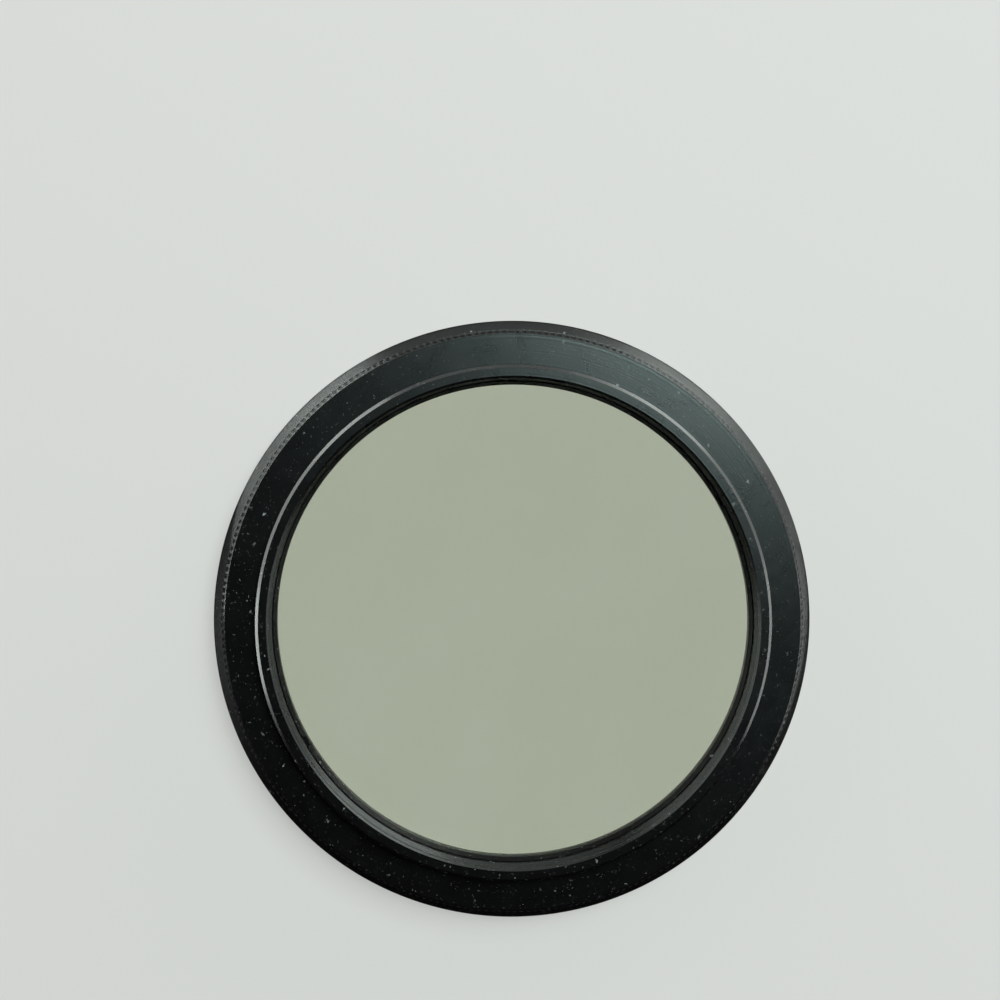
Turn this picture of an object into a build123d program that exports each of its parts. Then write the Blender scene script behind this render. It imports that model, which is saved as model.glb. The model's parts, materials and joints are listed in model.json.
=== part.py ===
"""Variable-density lens filter: two polarisers, each in its own ring, that turn on each other.

The part lies on its front rim with the lens thread upwards, so that +Z points at the lens.
The origin is the middle of the front rim, and every size is in millimetres.
"""
import os
from math import cos, pi, sin

from build123d import *

# Lens thread: the male thread, its tube and the shoulder that stops against the lens
lens_thread_diameter = 77.0
lens_thread_length = 2.7
lens_thread_lead_in = 0.6
thread_tube_wall = 2.0
shoulder_width = 5.7

# Knurled flange of the mount ring
flange_height = 1.85
knurl_pitch = 1.068
knurl_depth = 0.45

# Spigot of the mount ring, which carries the front ring
spigot_wall = 2.1
ledge_width = 0.6
ledge_height = 0.7

# Front ring: the accessory thread is larger than the lens thread, so that the view is not cut off
accessory_thread_step = 9.0
accessory_thread_pitch = 1.0
accessory_thread_length = 1.9
accessory_thread_edge = 0.4
front_rim_width = 3.0
front_rim_edge = 0.5
rear_bevel = 1.6
web_height = 2.6
pocket_step = 0.85

# Polarisers: a film cemented between two glass discs
glass_thickness = 0.8
film_thickness = 0.15

# Retaining rings, screwed in on the glass, each with two slots for a spanner
rear_retainer_width = 0.6
rear_retainer_height = 1.1
front_retainer_width = 0.85
front_retainer_height = 0.7
spanner_slot_width = 1.6
spanner_slot_depth = 0.45
spanner_slot_angle = 30.0

# Snap wire: a split ring of square spring wire, half in the spigot's groove and half under the web
wire_width = 0.8
wire_groove_end = 0.35
wire_opening_angle = 14.0

# Clearances
running_clearance = 0.05
ring_gap = 0.15
polariser_gap = 0.5
glass_clearance = 0.1
retainer_clearance = 0.03
wire_clearance = 0.05

# A metric thread is this share of its pitch high, from root to crest
thread_height_share = 0.5413
accessory_thread_height = thread_height_share * accessory_thread_pitch

# Radii, from the lens thread outwards
lens_thread_radius = lens_thread_diameter / 2
bore_radius = lens_thread_radius - thread_tube_wall
ledge_radius = bore_radius - ledge_width
spigot_radius = bore_radius + spigot_wall
bearing_radius = spigot_radius + running_clearance
flange_radius = lens_thread_radius + shoulder_width
accessory_thread_radius = (lens_thread_diameter + accessory_thread_step) / 2
accessory_bore_radius = accessory_thread_radius - accessory_thread_height
pocket_radius = accessory_bore_radius - pocket_step
front_ring_radius = accessory_thread_radius + front_rim_width
rear_glass_radius = bore_radius - glass_clearance
front_glass_radius = pocket_radius - glass_clearance
wire_radius = (spigot_radius + bearing_radius) / 2

# Heights of the front ring's pieces, from the front rim upwards
polariser_thickness = 2 * glass_thickness + film_thickness
front_retainer_bottom = accessory_thread_length
front_polariser_bottom = front_retainer_bottom + front_retainer_height
web_bottom = front_polariser_bottom + polariser_thickness
web_top = web_bottom + web_height
widest_height = web_top - rear_bevel

# Heights of the mount ring's pieces
spigot_bottom = web_bottom + polariser_gap
rear_polariser_bottom = spigot_bottom + ledge_height
rear_retainer_bottom = rear_polariser_bottom + polariser_thickness
flange_bottom = web_top + ring_gap
shoulder_height = flange_bottom + flange_height
thread_end = shoulder_height + lens_thread_length
wire_groove_width = wire_width + 2 * wire_clearance
wire_groove_bottom = spigot_bottom + wire_groove_end
wire_groove_top = wire_groove_bottom + wire_groove_width
wire_height = (wire_groove_bottom + wire_groove_top) / 2


def polariser_layers(names, radius, bottom):
    """The glass, film and glass of one polariser, from the lowest to the highest."""
    layers = []
    for name, thickness in zip(names, (glass_thickness, film_thickness, glass_thickness)):
        with BuildPart() as layer:
            with BuildSketch(Plane.XY.offset(bottom)):
                Circle(radius)
            extrude(amount=thickness)
        layer.part.label = name
        layers.append(layer.part)
        bottom += thickness
    return layers


# Mount ring: thread tube, knurled flange and spigot, turned from one piece
with BuildPart() as mount_ring:
    with BuildSketch(Plane.XZ):
        with BuildLine():
            Polyline(
                (ledge_radius, spigot_bottom),
                (spigot_radius, spigot_bottom),
                (spigot_radius, flange_bottom),
                (lens_thread_radius, flange_bottom),
                (lens_thread_radius, thread_end - lens_thread_lead_in),
                (lens_thread_radius - lens_thread_lead_in, thread_end),
                (bore_radius, thread_end),
                (bore_radius, rear_polariser_bottom),
                (ledge_radius, rear_polariser_bottom),
                close=True,
            )
        make_face()
    revolve(axis=Axis.Z)

    # Flange with a straight knurl: its outline goes from tooth tip to root all the way round
    knurl_count = round(2 * pi * flange_radius / knurl_pitch)
    knurl_outline = []
    for step in range(2 * knurl_count):
        knurl_radius = flange_radius - knurl_depth * (step % 2)
        knurl_angle = pi * step / knurl_count
        knurl_outline.append((knurl_radius * cos(knurl_angle), knurl_radius * sin(knurl_angle)))
    with BuildSketch(Plane.XY.offset(flange_bottom)):
        with BuildLine():
            Polyline(*knurl_outline, close=True)
        make_face()
        Circle(bore_radius, mode=Mode.SUBTRACT)
    extrude(amount=flange_height)

    # The wire's groove takes the whole wire, so that it can be pressed in for assembly
    mount_groove_depth = wire_width + wire_clearance
    with BuildSketch(Plane.XZ):
        with Locations((spigot_radius, wire_height)):
            Rectangle(2 * mount_groove_depth, wire_groove_width)
    revolve(axis=Axis.Z, mode=Mode.SUBTRACT)
mount_ring.part.label = "mount_ring"

# Rear retaining ring, on the lens side of the rear polariser
with BuildPart() as rear_retaining_ring:
    rear_retainer_radius = bore_radius - retainer_clearance
    rear_retainer_top = rear_retainer_bottom + rear_retainer_height
    rear_retainer_bore = bore_radius - rear_retainer_width
    with BuildSketch(Plane.XZ):
        with BuildLine():
            Polyline(
                (rear_retainer_bore, rear_retainer_bottom),
                (rear_retainer_radius, rear_retainer_bottom),
                (rear_retainer_radius, rear_retainer_top),
                (rear_retainer_bore, rear_retainer_top),
                close=True,
            )
        make_face()
    revolve(axis=Axis.Z)
    with BuildSketch(Plane.XY.offset(rear_retainer_top)):
        with Locations(Rotation(0, 0, spanner_slot_angle)):
            Rectangle(2 * bore_radius, spanner_slot_width)
    extrude(amount=-spanner_slot_depth, mode=Mode.SUBTRACT)
rear_retaining_ring.part.label = "rear_retaining_ring"

# Front ring: accessory thread, glass pocket, and the web that turns on the spigot and rests on the wire
with BuildPart() as front_ring:
    rabbet_radius = wire_radius + wire_width / 2 + wire_clearance
    with BuildSketch(Plane.XZ):
        with BuildLine():
            Polyline(
                (accessory_bore_radius + accessory_thread_edge, 0),
                (front_ring_radius - front_rim_edge, 0),
                (front_ring_radius, front_rim_edge),
                (front_ring_radius, widest_height),
                (front_ring_radius - rear_bevel, web_top),
                (bearing_radius, web_top),
                (bearing_radius, wire_groove_top),
                (rabbet_radius, wire_groove_top),
                (rabbet_radius, web_bottom),
                (pocket_radius, web_bottom),
                (pocket_radius, accessory_thread_length),
                (accessory_bore_radius, accessory_thread_length),
                (accessory_bore_radius, accessory_thread_edge),
                close=True,
            )
        make_face()
    revolve(axis=Axis.Z)
front_ring.part.label = "front_ring"

# Front retaining ring, on the outer side of the front polariser
with BuildPart() as front_retaining_ring:
    front_retainer_radius = pocket_radius - retainer_clearance
    front_retainer_bore = pocket_radius - front_retainer_width
    with BuildSketch(Plane.XZ):
        with BuildLine():
            Polyline(
                (front_retainer_bore, front_retainer_bottom),
                (front_retainer_radius, front_retainer_bottom),
                (front_retainer_radius, front_polariser_bottom),
                (front_retainer_bore, front_polariser_bottom),
                close=True,
            )
        make_face()
    revolve(axis=Axis.Z)
    with BuildSketch(Plane.XY.offset(front_retainer_bottom)):
        with Locations(Rotation(0, 0, spanner_slot_angle)):
            Rectangle(2 * pocket_radius, spanner_slot_width)
    extrude(amount=spanner_slot_depth, mode=Mode.SUBTRACT)
front_retaining_ring.part.label = "front_retaining_ring"

# Snap wire, open over a few degrees so that it can be squeezed together
with BuildPart() as snap_wire:
    with BuildSketch(Plane.XZ):
        with Locations((wire_radius, wire_height)):
            Rectangle(wire_width, wire_width)
    revolve(axis=Axis.Z, revolution_arc=360 - wire_opening_angle)
snap_wire.part.label = "snap_wire"

# Rear polariser, cemented together, from its front face to the lens
rear_polariser = polariser_layers(
    ("rear_inner_glass", "rear_polarising_film", "rear_outer_glass"),
    rear_glass_radius,
    rear_polariser_bottom,
)

# Front polariser, from its front face to the web
front_polariser = polariser_layers(
    ("front_outer_glass", "front_polarising_film", "front_inner_glass"),
    front_glass_radius,
    front_polariser_bottom,
)

# One file for each piece
os.makedirs("parts", exist_ok=True)
turned_pieces = [
    mount_ring.part,
    rear_retaining_ring.part,
    front_ring.part,
    front_retaining_ring.part,
    snap_wire.part,
]
for piece in turned_pieces + rear_polariser + front_polariser:
    export_step(piece, f"parts/{piece.label}.step")
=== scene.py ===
# %% [markdown]
# A screw-in lens filter that can be made darker or lighter, dressed for the camera.
# Two polarisers sit in two black rings. The mount ring screws into the lens, and the wider front ring
# turns on it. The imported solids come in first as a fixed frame, and every piece below is made in that
# frame, so that nothing has to be fitted by eye.

import json
from math import atan2, pi, radians

import bmesh
import bpy
from mathutils import Matrix, Vector


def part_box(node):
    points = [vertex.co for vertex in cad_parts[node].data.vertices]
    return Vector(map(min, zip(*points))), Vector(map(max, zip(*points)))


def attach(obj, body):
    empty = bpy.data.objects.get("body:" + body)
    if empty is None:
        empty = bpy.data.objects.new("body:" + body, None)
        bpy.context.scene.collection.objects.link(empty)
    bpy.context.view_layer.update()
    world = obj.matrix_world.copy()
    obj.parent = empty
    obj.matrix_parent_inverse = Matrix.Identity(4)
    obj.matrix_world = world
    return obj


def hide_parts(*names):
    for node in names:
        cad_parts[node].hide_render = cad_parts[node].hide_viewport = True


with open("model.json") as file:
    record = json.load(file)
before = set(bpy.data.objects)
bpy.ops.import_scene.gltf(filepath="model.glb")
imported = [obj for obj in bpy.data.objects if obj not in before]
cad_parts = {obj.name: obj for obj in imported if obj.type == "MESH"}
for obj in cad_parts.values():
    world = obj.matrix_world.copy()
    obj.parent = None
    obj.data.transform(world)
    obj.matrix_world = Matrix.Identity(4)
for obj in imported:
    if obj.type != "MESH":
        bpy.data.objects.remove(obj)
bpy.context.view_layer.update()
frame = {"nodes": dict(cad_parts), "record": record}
mm = 0.001
mounts = {mount["name"]: mount for mount in frame["record"]["mounts"]}


def round_size(node):
    """Outer radius, bottom and top of a round node, in millimetres."""
    low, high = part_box(node)
    return high.x / mm, low.z / mm, high.z / mm


flange_radius, spigot_bottom, thread_end = round_size("mount_ring")
front_radius, front_face, web_top = round_size("front_ring")
print(f"filter {2 * front_radius:.1f} mm across and {thread_end - front_face:.2f} mm high")

# %% [markdown]
# Colours are written as hex values, as a colour picker shows them. A shader counts light, which is not
# the same scale, so one function turns the hex value into the linear colour. A second small function
# adds a shader node with its settings and its inputs, so that each material below reads as a short list.


# %% Colour and node helpers
def linear(hex_colour):
    """The linear colour of an sRGB hex value, with full alpha."""
    shares = [int(hex_colour[i:i + 2], 16) / 255 for i in (1, 3, 5)]
    return (*[s / 12.92 if s <= 0.04045 else ((s + 0.055) / 1.055) ** 2.4 for s in shares], 1.0)


def add(tree, kind, inputs, **settings):
    """A new node of that kind: settings are its properties, inputs its sockets by name or number."""
    node = tree.nodes.new(kind)
    for name, value in settings.items():
        setattr(node, name, value)
    for socket, value in inputs.items():
        if isinstance(value, bpy.types.NodeSocket):
            tree.links.new(value, node.inputs[socket])
        else:
            node.inputs[socket].default_value = value
    return node


print(f"middle grey, #808080, is {linear('#808080')[0]:.3f} of full light")

# %% [markdown]
# Dust lies on everything that was handled: pale specks, from fine grit to short flecks of lint. They could
# be painted on, but a pattern in space needs no unwrapping. A cloud of points fills the space, and where a
# point comes near the surface, a speck shows. The cloud is pulled out of shape, so that no two specks look
# alike, each has its own paleness, and they lie thicker towards one side.

# %% Dust
specks = ((0.5, 0.07), (1.4, 0.12), (2.8, 0.28))      # spacing and radius, from fine dust to flecks
speck_core = 0.4           # share of the radius that is at full strength
lint_size = 0.4
lint_pull = 2.5 * lint_size
dusty_side = (-0.7, -0.7, 0)


def dust_specks(tree, place):
    """The output that is above zero where a speck of dust lies; place is in millimetres."""
    pull = add(tree, "ShaderNodeTexNoise", {"Vector": place, "Scale": 1 / lint_size, "Detail": 2})
    ragged = add(tree, "ShaderNodeVectorMath",
                 {0: pull.outputs["Color"], 1: (lint_pull,) * 3, 2: place}, operation="MULTIPLY_ADD")
    side = add(tree, "ShaderNodeVectorMath", {0: place, 1: dusty_side}, operation="DOT_PRODUCT")
    thick = add(tree, "ShaderNodeMapRange",
                {"Value": side.outputs["Value"], "From Min": -30, "From Max": 35, "To Min": 0.7, "To Max": 1.3})
    most = 0.0
    for spacing, radius in specks:
        size = radius / spacing
        cloud = add(tree, "ShaderNodeTexVoronoi", {"Vector": ragged.outputs[0], "Scale": 1 / spacing})
        near = add(tree, "ShaderNodeMapRange",
                   {"Value": cloud.outputs["Distance"], "From Min": speck_core * size, "From Max": size,
                    "To Min": 1.0, "To Max": 0.0})
        own = add(tree, "ShaderNodeMath", {0: near.outputs[0], 1: cloud.outputs["Color"]},
                  operation="MULTIPLY")
        most = add(tree, "ShaderNodeMath", {0: own.outputs[0], 1: most}, operation="MAXIMUM").outputs[0]
    speck = add(tree, "ShaderNodeMath", {0: most, 1: thick.outputs[0]}, operation="MULTIPLY", use_clamp=True)
    return speck.outputs[0]


print(f"dust: {len(specks)} sizes, up to {2 * specks[-1][1]:.2f} mm across")

# %% [markdown]
# All four rings are aluminium: turned on a lathe, blasted with fine beads and anodised black. The eye
# sees a satin black that goes grey where it mirrors a lamp, very fine grain, faint rings from the lathe,
# soft smears where it was handled, and a paler grey where hands have rubbed the tips of the knurl. The
# black layer is an oxide and not bare metal, so the shader is a dark dielectric with the oxide's IOR.
# Everything is drawn in millimetres on the object's own coordinates: distance from the axis gives the
# lathe rings without any unwrapping, and height adds the lines along the walls.

# %% Black anodised aluminium
oxide_ior = 1.65
oxide_tint = "#f2fff8"
grain_size = 0.25          # real bead marks are about 0.05 mm, and too fine to show
lathe_spacing = 0.35       # real feed is about 0.1 mm, drawn coarser so that it shows
wall_share = 1.4           # a millimetre of height counts as this many of radius in the lathe lines
smear_size = 6.0
smear_polish = 0.02        # how far a smear moves the roughness to either side
mark_depth = 0.02
wear_fade = 0.15


def anodised_black(name, roughness, sheen, lathe_depth, grain_depth, worn_from):
    """Satin black anodised aluminium, with its sheen, lathe rings, grain, and the radius it is worn from."""
    material = bpy.data.materials.new(name)
    material.use_nodes = True
    tree = material.node_tree
    shader = tree.nodes["Principled BSDF"]
    shader.inputs["IOR"].default_value = oxide_ior
    shader.inputs["Specular IOR Level"].default_value = sheen
    shader.inputs["Specular Tint"].default_value = linear(oxide_tint)
    coordinates = add(tree, "ShaderNodeTexCoord", {})
    place = add(tree, "ShaderNodeMapping",
                {0: coordinates.outputs["Object"], "Scale": (1 / mm, 1 / mm, 1 / mm)}).outputs[0]

    # Rings round the axis on the flats, and along it on the walls
    across = add(tree, "ShaderNodeVectorMath", {0: place, 1: (1, 1, 0)}, operation="MULTIPLY")
    reach = add(tree, "ShaderNodeVectorMath", {0: across.outputs[0]}, operation="LENGTH")
    height = add(tree, "ShaderNodeSeparateXYZ", {0: place})
    travel = add(tree, "ShaderNodeMath", {0: height.outputs["Z"], 1: wall_share, 2: reach.outputs["Value"]},
                 operation="MULTIPLY_ADD")
    lathe = add(tree, "ShaderNodeTexNoise",
                {"W": travel.outputs[0], "Scale": 1 / lathe_spacing, "Detail": 3}, noise_dimensions="1D")
    grain = add(tree, "ShaderNodeTexNoise", {"Vector": place, "Scale": 1 / grain_size, "Detail": 2})
    smear = add(tree, "ShaderNodeTexNoise",
                {"Vector": place, "Scale": 1 / smear_size, "Detail": 3, "Distortion": 1.2})

    # Colour: two blacks in smears, the worn grey over them, and dust on top
    black = add(tree, "ShaderNodeMix",
                {"Factor": smear.outputs["Fac"], 6: linear("#040203"), 7: linear("#080506")}, data_type="RGBA")
    wear = add(tree, "ShaderNodeMapRange",
               {"Value": reach.outputs["Value"], "From Min": worn_from, "From Max": worn_from + wear_fade,
                "To Min": 0.0, "To Max": 1.0})
    worn = add(tree, "ShaderNodeMix",
               {"Factor": wear.outputs[0], 6: black.outputs[2], 7: linear("#353431")}, data_type="RGBA")
    dusty = add(tree, "ShaderNodeMix",
                {"Factor": dust_specks(tree, place), 6: worn.outputs[2], 7: linear("#a9aaa4")},
                data_type="RGBA")
    tree.links.new(dusty.outputs[2], shader.inputs["Base Color"])

    # Gloss and relief
    satin = add(tree, "ShaderNodeMapRange",
                {"Value": smear.outputs["Fac"], "From Min": 0.25, "From Max": 0.75,
                 "To Min": roughness - smear_polish, "To Max": roughness + smear_polish})
    tree.links.new(satin.outputs[0], shader.inputs["Roughness"])
    lathe_bump = add(tree, "ShaderNodeBump",
                     {"Height": lathe.outputs["Fac"], "Strength": lathe_depth, "Distance": mark_depth * mm})
    grain_bump = add(tree, "ShaderNodeBump",
                     {"Height": grain.outputs["Fac"], "Strength": grain_depth, "Distance": mark_depth * mm,
                      "Normal": lathe_bump.outputs[0]})
    tree.links.new(grain_bump.outputs[0], shader.inputs["Normal"])
    print(f"{name}: {len(tree.nodes)} nodes")
    return material


# %% The rings' three finishes
worn_tips = flange_radius - 0.35
not_worn = front_radius
mount_finish = anodised_black("mount_ring_black_anodised", 0.28, 0.5, 0.5, 0.35, worn_tips)
front_finish = anodised_black("front_ring_black_anodised", 0.30, 0.5, 0.4, 0.8, not_worn)
retainer_finish = anodised_black("retaining_ring_black_anodised", 0.35, 0.2, 0.3, 0.35, not_worn)

# %% [markdown]
# A lathe makes each ring by turning one half section round the axis, and the spin operator does the same:
# the section's corners are joined with edges and swept through a full turn. A stretch that will carry a
# thread gets extra rows before the sweep. Every ring ends the same way, so one function marks the sharp
# edges, and one puts the mesh into the frame on its body in place of its solid.

# %% Turn a ring
touch = 0.001              # millimetres within which two places count as the same
merge_reach = 0.0005


def turn(section, steps):
    """A ring from the corners of its half section: radius, height, and rows up to the next corner."""
    bm = bmesh.new()
    points = []
    for (radius, height, rows), (next_radius, next_height, _) in zip(section, section[1:] + section[:1]):
        for row in range(rows + 1):
            share = row / (rows + 1)
            along = Vector((radius, 0, height)).lerp(Vector((next_radius, 0, next_height)), share)
            points.append(bm.verts.new(along * mm))
    for point, next_point in zip(points, points[1:] + points[:1]):
        bm.edges.new((point, next_point))
    bmesh.ops.spin(bm, geom=bm.verts[:] + bm.edges[:], cent=(0, 0, 0), axis=(0, 0, 1), dvec=(0, 0, 0),
                   angle=2 * pi, steps=steps, use_merge=True, use_duplicate=False)
    bmesh.ops.remove_doubles(bm, verts=bm.verts[:], dist=merge_reach * mm)
    bmesh.ops.recalc_face_normals(bm, faces=bm.faces[:])
    return bm


print(f"rings are turned in steps, and points closer than {merge_reach} mm are merged")


# %% Hand a finished piece to the frame
def mark_edges(bm, angle=28):
    """Smooth shading that stops at every edge sharper than the angle, in degrees."""
    for face in bm.faces:
        face.smooth = True
    for edge in bm.edges:
        edge.smooth = not (edge.is_manifold and edge.calc_face_angle() > radians(angle))


def hand_over(bm, name, finish, body, nodes):
    """Makes the piece's object, on its body and in place of its solids."""
    mesh = bpy.data.meshes.new(name)
    bm.to_mesh(mesh)
    open_edges = sum(not edge.is_manifold for edge in bm.edges)
    bm.free()
    mesh.materials.append(finish)
    piece = bpy.data.objects.new(name, mesh)
    bpy.context.scene.collection.objects.link(piece)
    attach(piece, body)
    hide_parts(*nodes)
    triangles = sum(len(polygon.vertices) - 2 for polygon in mesh.polygons)
    print(f"{name}: {triangles} triangles, {open_edges} open edges")


# %% [markdown]
# Threads are cut into the turned ring, as they are on the real one. A screw thread is a groove that climbs
# by one pitch in each turn, so a row of points on the wall is moved in or out by how far the point is from
# the next root. A modifier could wind a separate helix, but it would have to be joined to the ring.

# %% Cut a thread
rows_per_pitch = 16
metric_depth = 0.5413      # shares of the pitch: from root to crest,
half_crest = 1 / 16        # half the flat on a crest,
flank_width = 5 / 16       # and one flank


def turns_at(vert):
    """The vertex's angle round the axis, in turns."""
    return atan2(vert.co.y, vert.co.x) / (2 * pi)


def set_radius(vert, radius):
    """Moves the vertex straight in or out to that radius, in millimetres."""
    vert.co.xy *= radius * mm / vert.co.xy.length


def cut_thread(bm, wall, low, high, pitch, depth):
    """A right-hand thread in the wall of that radius, which runs out at both ends; depth is outwards."""
    for vert in bm.verts:
        height = vert.co.z / mm
        if abs(vert.co.xy.length / mm - wall) < 2 * touch and low < height < high:
            off_root = abs((height / pitch - turns_at(vert)) % 1 - 0.5)
            flank = min(max((0.5 - off_root - half_crest) / flank_width, 0), 1)
            run_out = min(1, 2 * (height - low) / pitch, 2 * (high - height) / pitch)
            set_radius(vert, wall + depth * flank * run_out)


print(f"a thread of 1 mm pitch is {metric_depth:.2f} mm deep, in {rows_per_pitch} rows for each turn")

# %% [markdown]
# A knurl is a ring of V-shaped cuts side by side. Whatever stands further out than the cut at that angle is
# brought back to it, which also cuts the chamfer above the teeth correctly. The cuts get shallower towards
# their lower end, where the tool ran out, so that a plain rim stays below them.

# %% Cut a knurl
cut_slope = 2.6            # steep enough that a narrow land stays on the tip of each tooth


def cut_knurl(bm, tip, depth, teeth, low, high, run_out):
    """Straight V teeth round the ring between two heights, which reach their depth over the run-out."""
    def in_band(vert):
        height = vert.co.z / mm
        return vert.co.xy.length / mm > tip - depth - touch and low - touch < height < high + touch

    around = [
        edge for edge in bm.edges
        if in_band(edge.verts[0]) and in_band(edge.verts[1])
        and abs(edge.verts[0].co.z - edge.verts[1].co.z) < touch * mm
        and abs(edge.verts[0].co.xy.length - edge.verts[1].co.xy.length) < touch * mm
    ]
    bmesh.ops.subdivide_edges(bm, edges=around, cuts=2, use_grid_fill=True)
    for vert in bm.verts:
        if in_band(vert):
            off_root = abs((turns_at(vert) * teeth) % 1 - 0.5)
            deep = depth * min(1, max(0, vert.co.z / mm - low) / run_out)
            cut_radius = tip - deep * max(0, 1 - cut_slope * off_root)
            if vert.co.xy.length / mm > cut_radius:
                set_radius(vert, cut_radius)


print(f"each tooth keeps {100 * (1 - 2 / cut_slope):.0f} percent of its pitch as a land")

# %% [markdown]
# The mount ring is one turned piece: the thread tube that goes into the lens, the flange with its flat
# shoulder and knurled edge, and the spigot below that carries the front ring. A chamfer leads into the
# thread, and the bore has the fine thread for the retaining ring. All of it comes from one section, whose
# sizes are read from the frame where it has them. The flange has a plain rim below its teeth and a chamfer
# above them, with a row where the cuts reach the chamfer, so that they stay clean.

# %% Mount ring's sizes
thread_radius = mounts["lens_thread"]["dims"]["r_mm"]
thread_length = mounts["lens_thread"]["dims"]["length_mm"]
shoulder = mounts["lens_thread"]["pos_m"][2] / mm - thread_length / 2
thread_pitch = 0.75
lead_in = thread_end - shoulder - thread_length
lead_edge = lead_in - 0.08
tube_wall = 2.0
spigot_wall = 2.1
ledge_width = 0.3
bore = thread_radius - tube_wall
spigot_radius = bore + spigot_wall
ledge_radius = bore - ledge_width
lip_edge = 0.28
small_edge = 0.1

retainer_radius, retainer_bottom, retainer_top = round_size("rear_retaining_ring")
retainer_thread_pitch = 0.75
retainer_thread_depth = 0.2
rear_glass_radius, rear_glass_bottom, _ = round_size("rear_inner_glass")
wire_outside, wire_bottom, wire_top = round_size("snap_wire")
wire_play = 0.05
groove_radius = spigot_radius - 0.85
groove_bottom = wire_bottom - wire_play
groove_top = wire_top + wire_play

knurl_teeth = 260
knurl_depth = 0.34
knurl_edge = 0.7
ring_gap = 0.15
plain_rim = 0.35
flange_bottom = web_top + ring_gap
knurl_bottom = flange_bottom + plain_rim
chamfer_bottom = shoulder - knurl_edge
print(f"bore {2 * bore:.1f} mm, thread {2 * thread_radius:.1f} mm, flange {2 * flange_radius:.1f} mm across")

# %% Mount ring
thread_rows = round(rows_per_pitch * thread_length / thread_pitch)
bore_thread_top = thread_end - lip_edge
bore_rows = round(rows_per_pitch * (bore_thread_top - retainer_top) / retainer_thread_pitch)
mount_section = [
    (ledge_radius, spigot_bottom, 0),
    (spigot_radius - small_edge, spigot_bottom, 0),
    (spigot_radius, spigot_bottom + small_edge, 0),
    (spigot_radius, groove_bottom, 0),
    (groove_radius, groove_bottom, 0),
    (groove_radius, groove_top, 0),
    (spigot_radius, groove_top, 0),
    (spigot_radius, flange_bottom, 0),
    (flange_radius - 2 * small_edge, flange_bottom, 0),
    (flange_radius, flange_bottom + 2 * small_edge, 0),
    (flange_radius, knurl_bottom, 0),
    (flange_radius, knurl_bottom + knurl_depth, 0),
    (flange_radius, chamfer_bottom, 0),
    (flange_radius - knurl_depth, chamfer_bottom + knurl_depth, 0),
    (flange_radius - knurl_edge, shoulder, 0),
    (thread_radius, shoulder, thread_rows),
    (thread_radius, thread_end - lead_in, 0),
    (thread_radius, thread_end - lead_edge, 0),
    (thread_radius - lead_edge, thread_end, 0),
    (bore + lip_edge, thread_end, 0),
    (bore, bore_thread_top, bore_rows),
    (bore, retainer_top, 0),
    (bore, rear_glass_bottom, 0),
    (ledge_radius, rear_glass_bottom, 0),
]
bm = turn(mount_section, 2 * knurl_teeth)
cut_knurl(bm, flange_radius, knurl_depth, knurl_teeth, knurl_bottom, shoulder, knurl_depth)
mark_edges(bm)
cut_thread(bm, thread_radius, shoulder, thread_end - lead_in, thread_pitch, -metric_depth * thread_pitch)
cut_thread(bm, bore, retainer_top, bore_thread_top, retainer_thread_pitch, retainer_thread_depth)
hand_over(bm, "mount_ring_turned", mount_finish, "mount", ["mount_ring"])

# %% [markdown]
# The front ring is what a finger turns. Its side has a band of straight grip teeth between two plain rims,
# its rear edge slopes away from the flange, and its front carries the wider accessory thread, so that a
# cap or a hood can go on. Inside is the pocket for the front polariser, and the web that turns on the
# spigot. The grip lies a little below the rims, so that the outline from behind stays a smooth circle.

# %% Front ring's sizes
accessory = mounts["accessory_thread"]
accessory_bore = accessory["dims"]["r_mm"]
accessory_end = accessory["pos_m"][2] / mm + accessory["dims"]["length_mm"] / 2
accessory_edge = accessory["pos_m"][2] / mm - accessory["dims"]["length_mm"] / 2
accessory_pitch = 1.0
front_glass_radius, _, web_bottom = round_size("front_inner_glass")
glass_play = 0.1
running_play = 0.05
pocket = front_glass_radius + glass_play
bearing = spigot_radius + running_play
rabbet = wire_outside + wire_play
rear_bevel = 1.6
widest_edge = web_top - rear_bevel
rim_edge = 0.5

grip_teeth = 240
grip_bottom = 1.1
grip_top = 4.5
grip_sink = 0.12
grip_depth = 0.35
grip_slope = 0.35
grip_tip = front_radius - grip_sink
print(f"grip band {grip_top - grip_bottom:.1f} mm wide, accessory bore {2 * accessory_bore:.1f} mm across")

# %% Front ring
accessory_rows = round(rows_per_pitch * (accessory_end - accessory_edge) / accessory_pitch)
front_section = [
    (accessory_bore + accessory_edge, front_face, 0),
    (front_radius - rim_edge, front_face, 0),
    (front_radius, front_face + rim_edge, 0),
    (front_radius, grip_bottom, 0),
    (grip_tip - grip_depth, grip_bottom + grip_slope / 2, 0),
    (grip_tip - grip_depth / 2, grip_bottom + 0.8 * grip_slope, 0),
    (grip_tip, grip_bottom + 1.2 * grip_slope, 0),
    (grip_tip, grip_top - 1.2 * grip_slope, 0),
    (grip_tip - grip_depth / 2, grip_top - 0.8 * grip_slope, 0),
    (grip_tip - grip_depth, grip_top - grip_slope / 2, 0),
    (front_radius, grip_top, 0),
    (front_radius, widest_edge - small_edge, 0),
    (front_radius - small_edge, widest_edge + small_edge, 0),
    (front_radius - 3 * small_edge, widest_edge + 3 * small_edge, 0),
    (front_radius - rear_bevel, web_top, 0),
    (bearing + small_edge, web_top, 0),
    (bearing, web_top - small_edge, 0),
    (bearing, groove_top, 0),
    (rabbet, groove_top, 0),
    (rabbet, web_bottom, 0),
    (pocket, web_bottom, 0),
    (pocket, accessory_end, 0),
    (accessory_bore, accessory_end, accessory_rows),
    (accessory_bore, accessory_edge, 0),
]
bm = turn(front_section, 2 * grip_teeth)
cut_knurl(bm, grip_tip, grip_depth, grip_teeth, grip_bottom + grip_slope / 2, grip_top - grip_slope / 2,
          small_edge)
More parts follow.
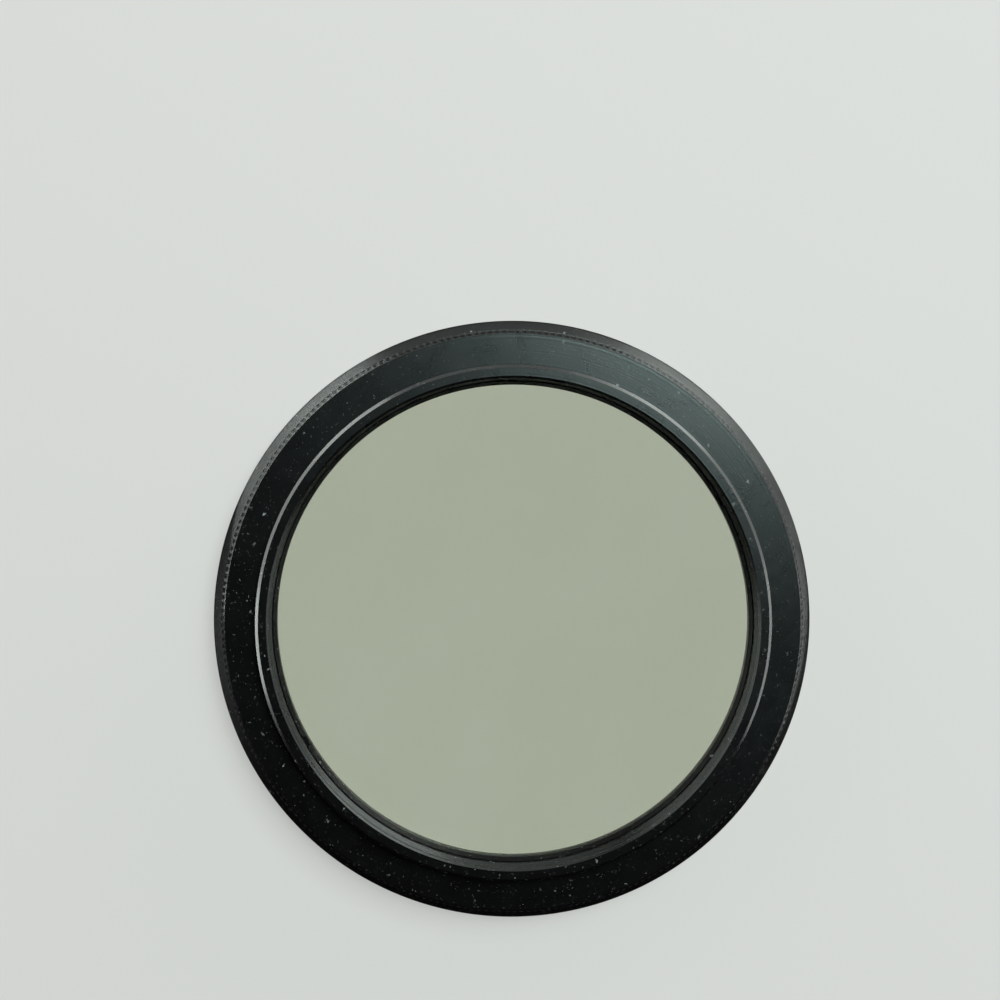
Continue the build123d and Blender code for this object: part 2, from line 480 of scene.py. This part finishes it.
mark_edges(bm)
accessory_depth = metric_depth * accessory_pitch
cut_thread(bm, accessory_bore, accessory_edge, accessory_end, accessory_pitch, accessory_depth)
hand_over(bm, "front_ring_turned", front_finish, "front", ["front_ring"])

# %% [markdown]
# Each polariser is held by a thin ring that screws in on top of it. Two slots across the ring take the
# pins of a spanner. The ring is turned like the others, and then cut: three planes mark out the slot, the
# faces inside it are taken away, and its floor and walls are closed again.

# %% Cut the spanner slots
slot_angle = 30
slot_width = 1.6
slot_depth = 0.45


def cut_slots(bm, angle, width, floor, up):
    """Two slots across the ring at that angle, from its open side (up is 1 or -1) down to the floor."""
    along = Matrix.Rotation(radians(angle), 3, "Z") @ Vector((0, 1, 0))
    half_width = along * width / 2 * mm
    planes = [(half_width, along), (-half_width, along), ((0, 0, floor * mm), (0, 0, 1))]
    for point, normal in planes:
        everything = bm.verts[:] + bm.edges[:] + bm.faces[:]
        bmesh.ops.bisect_plane(bm, geom=everything, dist=merge_reach * mm, plane_co=point, plane_no=normal)
    inside = [
        face for face in bm.faces
        if abs(face.calc_center_median().dot(along)) < width / 2 * mm
        and (face.calc_center_median().z - floor * mm) * up > touch * mm
    ]
    bmesh.ops.delete(bm, geom=inside, context="FACES")
    open_edges = [edge for edge in bm.edges if edge.is_boundary]
    for side in (1, -1):
        across = Vector((along.y, -along.x, 0)) * side
        floor_edges = [
            edge for edge in open_edges
            if all(abs(vert.co.z - floor * mm) < touch * mm for vert in edge.verts)
            and all(vert.co.dot(across) > 0 for vert in edge.verts)
        ]
        bmesh.ops.bridge_loops(bm, edges=floor_edges)
    bmesh.ops.holes_fill(bm, edges=[edge for edge in bm.edges if edge.is_boundary], sides=8)
    bmesh.ops.recalc_face_normals(bm, faces=bm.faces[:])


print(f"slots {slot_width} mm wide and {slot_depth} mm deep")

# %% [markdown]
# The rear ring is seen from the lens side. Its top slopes down to the glass like a shallow cone, so that no
# upright wall shades the edge of the picture. The front ring lies the other way round and has only a small
# broken edge.

# %% Retaining rings
ring_steps = 360
retainer_width = 0.6
retainer_bore = bore - retainer_width
retainer_edge = 0.15
retainer_land = 0.4
rear_section = [
    (retainer_bore, retainer_bottom, 0),
    (retainer_radius, retainer_bottom, 0),
    (retainer_radius, retainer_top, 0),
    (retainer_radius - retainer_edge, retainer_top, 0),
    (retainer_bore, retainer_bottom + retainer_land, 0),
]
bm = turn(rear_section, ring_steps)
cut_slots(bm, slot_angle, slot_width, retainer_top - slot_depth, 1)
mark_edges(bm)
hand_over(bm, "rear_retaining_ring_turned", retainer_finish, "mount",
          ["rear_retaining_ring"])

front_retainer_radius, front_retainer_bottom, front_retainer_top = round_size("front_retaining_ring")
front_retainer_width = 0.85
front_retainer_bore = pocket - front_retainer_width
front_retainer_section = [
    (front_retainer_bore, front_retainer_bottom + retainer_edge, 0),
    (front_retainer_bore + retainer_edge, front_retainer_bottom, 0),
    (front_retainer_radius, front_retainer_bottom, 0),
    (front_retainer_radius, front_retainer_top, 0),
    (front_retainer_bore, front_retainer_top, 0),
]
bm = turn(front_retainer_section, ring_steps)
cut_slots(bm, slot_angle, slot_width, front_retainer_bottom + slot_depth, -1)
mark_edges(bm)
hand_over(bm, "front_retaining_ring_turned", retainer_finish, "front",
          ["front_retaining_ring"])

# %% [markdown]
# A polariser is a stretched grey-green film cemented between two discs of optical glass. It passes a
# little over half of the light and turns white into a warm grey. The glass is coated, so it mirrors very
# little. The three layers touch without a gap, and the eye sees one disc, so one disc stands for them:
# drawn as separate layers, the shared faces would bend the light where there is nothing to bend it.

# %% Polariser glass
glass_ior = 1.52
coating_ior = 1.38
coating_thickness = 105.0      # nanometres, a quarter of a wave of green light in the coating
film_mottle = 18.0
most_haze = 0.03


def polariser_glass(name, tint, deeper_tint):
    """Coated glass with a polarising film inside, very slightly uneven in tint."""
    material = bpy.data.materials.new(name)
    material.use_nodes = True
    tree = material.node_tree
    shader = tree.nodes["Principled BSDF"]
    shader.inputs["Transmission Weight"].default_value = 1.0
    shader.inputs["IOR"].default_value = glass_ior
    shader.inputs["Thin Film Thickness"].default_value = coating_thickness
    shader.inputs["Thin Film IOR"].default_value = coating_ior
    coordinates = add(tree, "ShaderNodeTexCoord", {})
    place = add(tree, "ShaderNodeMapping",
                {0: coordinates.outputs["Object"], "Scale": (1 / mm, 1 / mm, 1 / mm)})
    mottle = add(tree, "ShaderNodeTexNoise",
                 {"Vector": place.outputs[0], "Scale": 1 / film_mottle, "Detail": 3})
    tone = add(tree, "ShaderNodeMix",
               {"Factor": mottle.outputs["Fac"], 6: linear(tint), 7: linear(deeper_tint)}, data_type="RGBA")
    tree.links.new(tone.outputs[2], shader.inputs["Base Color"])
    haze = add(tree, "ShaderNodeMapRange",
               {"Value": mottle.outputs["Fac"], "From Min": 0.5, "From Max": 0.8, "To Min": 0.0,
                "To Max": most_haze})
    tree.links.new(haze.outputs[0], shader.inputs["Roughness"])
    print(f"{name}: {len(tree.nodes)} nodes")
    return material


rear_glass = polariser_glass("rear_polariser_coated_glass", "#e0e0d7", "#dcdfd4")
front_glass = polariser_glass("front_polariser_coated_glass", "#e2e5dc", "#dcdfd4")

# %% Polariser discs
disc_segments = 256
ground_edge = 0.2
seat_gap = 0.02            # keeps the glass from lying in the same plane as its seat


def glass_disc(radius, bottom, top):
    """A flat disc with its rim ground to a small chamfer on both faces."""
    bm = bmesh.new()
    bmesh.ops.create_circle(bm, cap_ends=True, segments=disc_segments, radius=radius * mm)
    disc = bmesh.ops.extrude_face_region(bm, geom=bm.faces[:])
    lifted = [item for item in disc["geom"] if isinstance(item, bmesh.types.BMVert)]
    bmesh.ops.translate(bm, verts=lifted, vec=(0, 0, (top - bottom) * mm))
    rims = [edge for edge in bm.edges if abs(edge.verts[0].co.z - edge.verts[1].co.z) < touch * mm]
    bmesh.ops.bevel(bm, geom=rims, offset=ground_edge * mm, offset_type="OFFSET", segments=1, profile=0.5,
                    affect="EDGES", material=-1)
    bmesh.ops.translate(bm, verts=bm.verts[:], vec=(0, 0, bottom * mm))
    bmesh.ops.recalc_face_normals(bm, faces=bm.faces[:])
    mark_edges(bm)
    return bm


rear_glass_top = round_size("rear_outer_glass")[2]
bm = glass_disc(rear_glass_radius, rear_glass_bottom + seat_gap, rear_glass_top - seat_gap)
hand_over(bm, "rear_polariser", rear_glass, "mount",
          ["rear_inner_glass", "rear_polarising_film", "rear_outer_glass"])

front_glass_bottom = round_size("front_outer_glass")[1]
bm = glass_disc(front_glass_radius, front_glass_bottom + seat_gap, web_bottom - seat_gap)
hand_over(bm, "front_polariser", front_glass, "front",
          ["front_inner_glass", "front_polarising_film", "front_outer_glass"])

# %% [markdown]
# The snap wire holds the two rings together. It is drawn spring steel, a real metal, with fine lines
# along its length and a little oil colour. Its solid already has the right shape, so it stays and only
# gets the finish.

# %% Spring steel
steel_line = 0.08
steel = bpy.data.materials.new("snap_wire_drawn_spring_steel")
steel.use_nodes = True
tree = steel.node_tree
shader = tree.nodes["Principled BSDF"]
shader.inputs["Metallic"].default_value = 1.0
coordinates = add(tree, "ShaderNodeTexCoord", {})
place = add(tree, "ShaderNodeMapping",
            {0: coordinates.outputs["Object"], "Scale": (1 / mm, 1 / mm, 1 / mm)})
across = add(tree, "ShaderNodeVectorMath", {0: place.outputs[0], 1: (1, 1, 0)}, operation="MULTIPLY")
reach = add(tree, "ShaderNodeVectorMath", {0: across.outputs[0]}, operation="LENGTH")
drawn = add(tree, "ShaderNodeTexNoise",
            {"W": reach.outputs["Value"], "Scale": 1 / steel_line, "Detail": 2}, noise_dimensions="1D")
tone = add(tree, "ShaderNodeMix",
           {"Factor": drawn.outputs["Fac"], 6: linear("#8f9092"), 7: linear("#a9a79f")}, data_type="RGBA")
tree.links.new(tone.outputs[2], shader.inputs["Base Color"])
polish = add(tree, "ShaderNodeMapRange", {"Value": drawn.outputs["Fac"], "To Min": 0.22, "To Max": 0.4})
tree.links.new(polish.outputs[0], shader.inputs["Roughness"])
wire = frame["nodes"]["snap_wire"]
wire.data.materials.clear()
wire.data.materials.append(steel)
print(f"snap wire: {len(wire.data.polygons)} faces keep their place")

# %% [markdown]
# The filter lies on a plain pale floor. It is matt paint that catches the shadows, and it also glows a
# little for the camera and through the glass, so that it looks as pale as a lit wall without more light on
# the rings. Close to the filter it glows less, so that the shadow stays.

# %% Floor
floor_reach = 20               # metres
floor_gap = 0.02               # millimetres below the front rim
floor_bm = bmesh.new()
bmesh.ops.create_grid(floor_bm, x_segments=1, y_segments=1, size=floor_reach)
bmesh.ops.translate(floor_bm, verts=floor_bm.verts[:], vec=(0, 0, front_face * mm - floor_gap * mm))
floor_mesh = bpy.data.meshes.new("floor")
floor_bm.to_mesh(floor_mesh)
floor_bm.free()
floor = bpy.data.objects.new("floor", floor_mesh)
bpy.context.scene.collection.objects.link(floor)

floor_paint = bpy.data.materials.new("floor_pale_matt_paint")
floor_paint.use_nodes = True
tree = floor_paint.node_tree
tree.nodes.clear()
path = add(tree, "ShaderNodeLightPath", {})
coordinates = add(tree, "ShaderNodeTexCoord", {})
reach = add(tree, "ShaderNodeVectorMath", {0: coordinates.outputs["Object"]}, operation="LENGTH")
share = add(tree, "ShaderNodeMapRange",
            {"Value": reach.outputs["Value"], "From Min": 0.2, "From Max": 1.2, "To Min": 0.6, "To Max": 1.0})
seen = add(tree, "ShaderNodeMath",
           {0: path.outputs["Is Camera Ray"], 1: share.outputs[0], 2: path.outputs["Is Transmission Ray"]},
           operation="MULTIPLY_ADD")
paint = add(tree, "ShaderNodeBsdfDiffuse", {"Color": linear("#e9e1dc")})
glow = add(tree, "ShaderNodeEmission", {"Color": linear("#e9ece8"), "Strength": 0.91})
mix = add(tree, "ShaderNodeMixShader", {0: seen.outputs[0], 1: paint.outputs[0], 2: glow.outputs[0]})
add(tree, "ShaderNodeOutputMaterial", {0: mix.outputs[0]})
floor_mesh.materials.append(floor_paint)
print("floor at the front rim")

# %% [markdown]
# Black rings show the lamps only as reflections, so each lamp is placed for the surface that mirrors it.
# The key is a soft box overhead, to the right and behind: the flat faces mirror it, and its cool white gives
# them their blue-green grey. Four low boxes stand round the back and the sides, for the sloping edges.


# %% Lamps
def soft_box(name, place, width, height, watts, colour):
    """A rectangular lamp at that place, in metres, that points at the filter."""
    lamp = bpy.data.lights.new(name, "AREA")
    lamp.shape = "RECTANGLE"
    lamp.size = width
    lamp.size_y = height
    lamp.energy = watts
    lamp.color = linear(colour)[:3]
    box = bpy.data.objects.new(name, lamp)
    aim = (-Vector(place)).to_track_quat("-Z", "Y").to_matrix().to_4x4()
    box.matrix_world = Matrix.Translation(place) @ aim
    box.visible_camera = False
    bpy.context.scene.collection.objects.link(box)


white = "#ffffff"
cool_white = "#ebfdff"
lamps = [
    ("key_soft_box", (0.30, 0.40, 0.80), 0.46, 0.46, 7.4, cool_white),
    ("back_soft_box", (0.0, 0.85, 0.22), 0.7, 0.30, 0.6, white),
    ("left_soft_box", (-0.79, 0.32, 0.25), 1.2, 0.5, 2.4, white),
    ("right_soft_box", (0.55, 0.66, 0.185), 0.56, 0.24, 2.0, white),
    ("right_side_soft_box", (0.85, 0.06, 0.13), 1.1, 0.24, 1.2, white),
]
for lamp in lamps:
    soft_box(*lamp)
print(f"{len(lamps)} soft boxes")

# %% [markdown]
# A chamfer at 45 degrees sends the camera's view out sideways, so what it mirrors is the ground near the
# filter. Photographers of black things lay white cards there for bright lines and black flags for dark
# ones. Here they are painted reflections: glowing sheets that only glossy surfaces see, lying as sectors
# just above the floor round the filter, bright behind it and at the sides, and dark in front. Three low
# dark sheets stand close beside the front ring as painted dark reflections. They hide the bright cards
# from its sloping edge, but not from the thread's chamfer, which lies higher.

# %% Cards and flags, the painted reflections
card_steps = 24
card_gap = 0.01                # millimetres below the front rim, just above the floor
flag_depth = 9.0               # millimetres, so that the foot of a standing flag is below the floor
flag_radius = 0.049
flag_strength = 0.01


def show_in_reflections(name, bm, strength):
    """Turns a sheet into a glowing card of that brightness that only glossy surfaces see: a painted reflection.
    """
    mesh = bpy.data.meshes.new(name)
    bm.to_mesh(mesh)
    bm.free()
    card = bpy.data.objects.new(name, mesh)
    bpy.context.scene.collection.objects.link(card)
    card.visible_camera = False
    card.visible_diffuse = False
    card.visible_transmission = False
    card.visible_shadow = False
    painted_reflection_glow = bpy.data.materials.new(name + "_paper")
    painted_reflection_glow.use_nodes = True
    tree = painted_reflection_glow.node_tree
    tree.nodes.clear()
    # The glow lights nothing: it is a painted reflection, bright or dark, that only glossy surfaces show.
    shine = add(tree, "ShaderNodeEmission", {"Strength": strength})
    add(tree, "ShaderNodeOutputMaterial", {0: shine.outputs[0]})
    mesh.materials.append(painted_reflection_glow)


def sweep(first, second, first_angle, last_angle, rise):
    """The sheet that the edge between two points makes when it turns round the axis and rises."""
    bm = bmesh.new()
    ends = [bm.verts.new(first), bm.verts.new(second)]
    edge = bm.edges.new(ends)
    bmesh.ops.rotate(bm, verts=ends, matrix=Matrix.Rotation(radians(first_angle), 3, "Z"))
    bmesh.ops.spin(bm, geom=ends + [edge], cent=(0, 0, 0), axis=(0, 0, 1), dvec=(0, 0, rise / card_steps),
                   angle=radians(last_angle - first_angle), steps=card_steps, use_duplicate=False)
    return bm


def floor_card(name, first_angle, last_angle, inside, outside, strength):
    """A bright or dark glowing sector just above the floor, between two angles and two radii, in metres: a
    painted reflection that only glossy surfaces see.
    """
    height = front_face * mm - card_gap * mm
    bm = sweep((inside, 0, height), (outside, 0, height), first_angle, last_angle, 0)
    show_in_reflections(name, bm, strength)


def standing_flag(name, first_angle, last_angle, first_height, last_height):
    """A low dark sheet that stands beside the front ring, with a sloping top edge, in millimetres: a painted
    dark reflection.
    """
    foot = (flag_radius, 0, (first_height - flag_depth) * mm)
    top = (flag_radius, 0, first_height * mm)
    bm = sweep(foot, top, first_angle, last_angle, (last_height - first_height) * mm)
    show_in_reflections(name, bm, flag_strength)


print(f"flags stand {flag_radius / mm - front_radius:.0f} mm beside the front ring")

# %% Lay the cards and set the flags, which paint the reflections
beside, inner, middle, outer, far = 0.047, 0.088, 0.095, 0.40, 0.60      # metres from the axis
# Each card and flag paints a bright or dark reflection onto the rings' chamfers; the last number is its glow.
cards = [
    ("left_bounce_card", 121, 143, middle, outer, 7.8),
    ("left_side_card", 143, 176, middle, outer, 4.4),
    ("near_left_card", 176, 200, middle, outer, 12.5),
    ("near_left_fade", 200, 208, middle, outer, 2.5),
    ("right_bounce_card", 38, 60, middle, outer, 8.4),
    ("right_fade", 60, 66, middle, outer, 5.0),
    ("far_side_fade", 66, 75, inner, outer, 2.4),
    ("right_side_card", 8, 38, middle, outer, 3.2),
    ("near_right_card", -28, 8, middle, outer, 8.6),
    ("right_grey_card", -26, 28, beside, middle, 0.35),
    ("left_grey_card", 158, 172, beside, middle, 0.35),
    ("left_side_flag", 172, 208, beside, middle, 0.05),
    ("far_side_flag", 66, 118, beside, inner, 0.05),
    ("far_side_card", 75, 118, inner, outer, 1.2),
    ("near_side_flag", 208, 332, beside, far, 0.01),
]
for card in cards:
    floor_card(*card)
# The standing flags paint a dark reflection into the front ring's sloping edge.
flags = [
    ("left_rising_flag", 155, 183, 5.0, 8.7),
    ("left_standing_flag", 183, 212, 8.7, 8.9),
    ("right_standing_flag", -30, 14, 6.7, 5.0),
]
for flag in flags:
    standing_flag(*flag)
print(f"{len(cards)} cards on the floor and {len(flags)} standing flags")

# %% [markdown]
# The world round the studio is dim, so that the lamps and cards alone shape the reflections. The camera
# sees it as pale as the floor, so that a low view has no dark sky.

# %% World
world = bpy.data.worlds.new("studio_dusk")
world.use_nodes = True
tree = world.node_tree
path = add(tree, "ShaderNodeLightPath", {})
tone = add(tree, "ShaderNodeMix",
           {"Factor": path.outputs["Is Camera Ray"], 6: linear("#161616"), 7: linear("#dfe1de")},
           data_type="RGBA")
tree.links.new(tone.outputs[2], tree.nodes["Background"].inputs["Color"])
bpy.context.scene.world = world
print(f"world: {len(tree.nodes)} nodes")

# %% [markdown]
# The camera looks straight at the filter's lens side. It is close, so the near rings look larger than the
# far ones, and it is not centred on the axis, so one side of the bore shows. Its place and distance were
# worked out from how the rings' centres and radii shift with their height.

# %% Camera
camera_right = -5.5
camera_turn = 1.19
camera_up = 18.33
camera_distance = 165.0
frame_pixels = 1000
pixels_per_mm = 6.485
lens = bpy.data.cameras.new("camera")
lens.sensor_width = 36.0
lens.lens = lens.sensor_width * pixels_per_mm * camera_distance / frame_pixels
lens.clip_start = 0.01
camera = bpy.data.objects.new("camera", lens)
camera.location = (camera_right * mm, camera_up * mm, (widest_edge + camera_distance) * mm)
camera.rotation_euler = (0, radians(-camera_turn), 0)
bpy.context.scene.collection.objects.link(camera)
bpy.context.scene.camera = camera
bpy.context.scene.view_settings.view_transform = "Standard"
print(f"camera {lens.lens:.1f} mm, {camera.location.z / mm:.1f} mm above the floor")
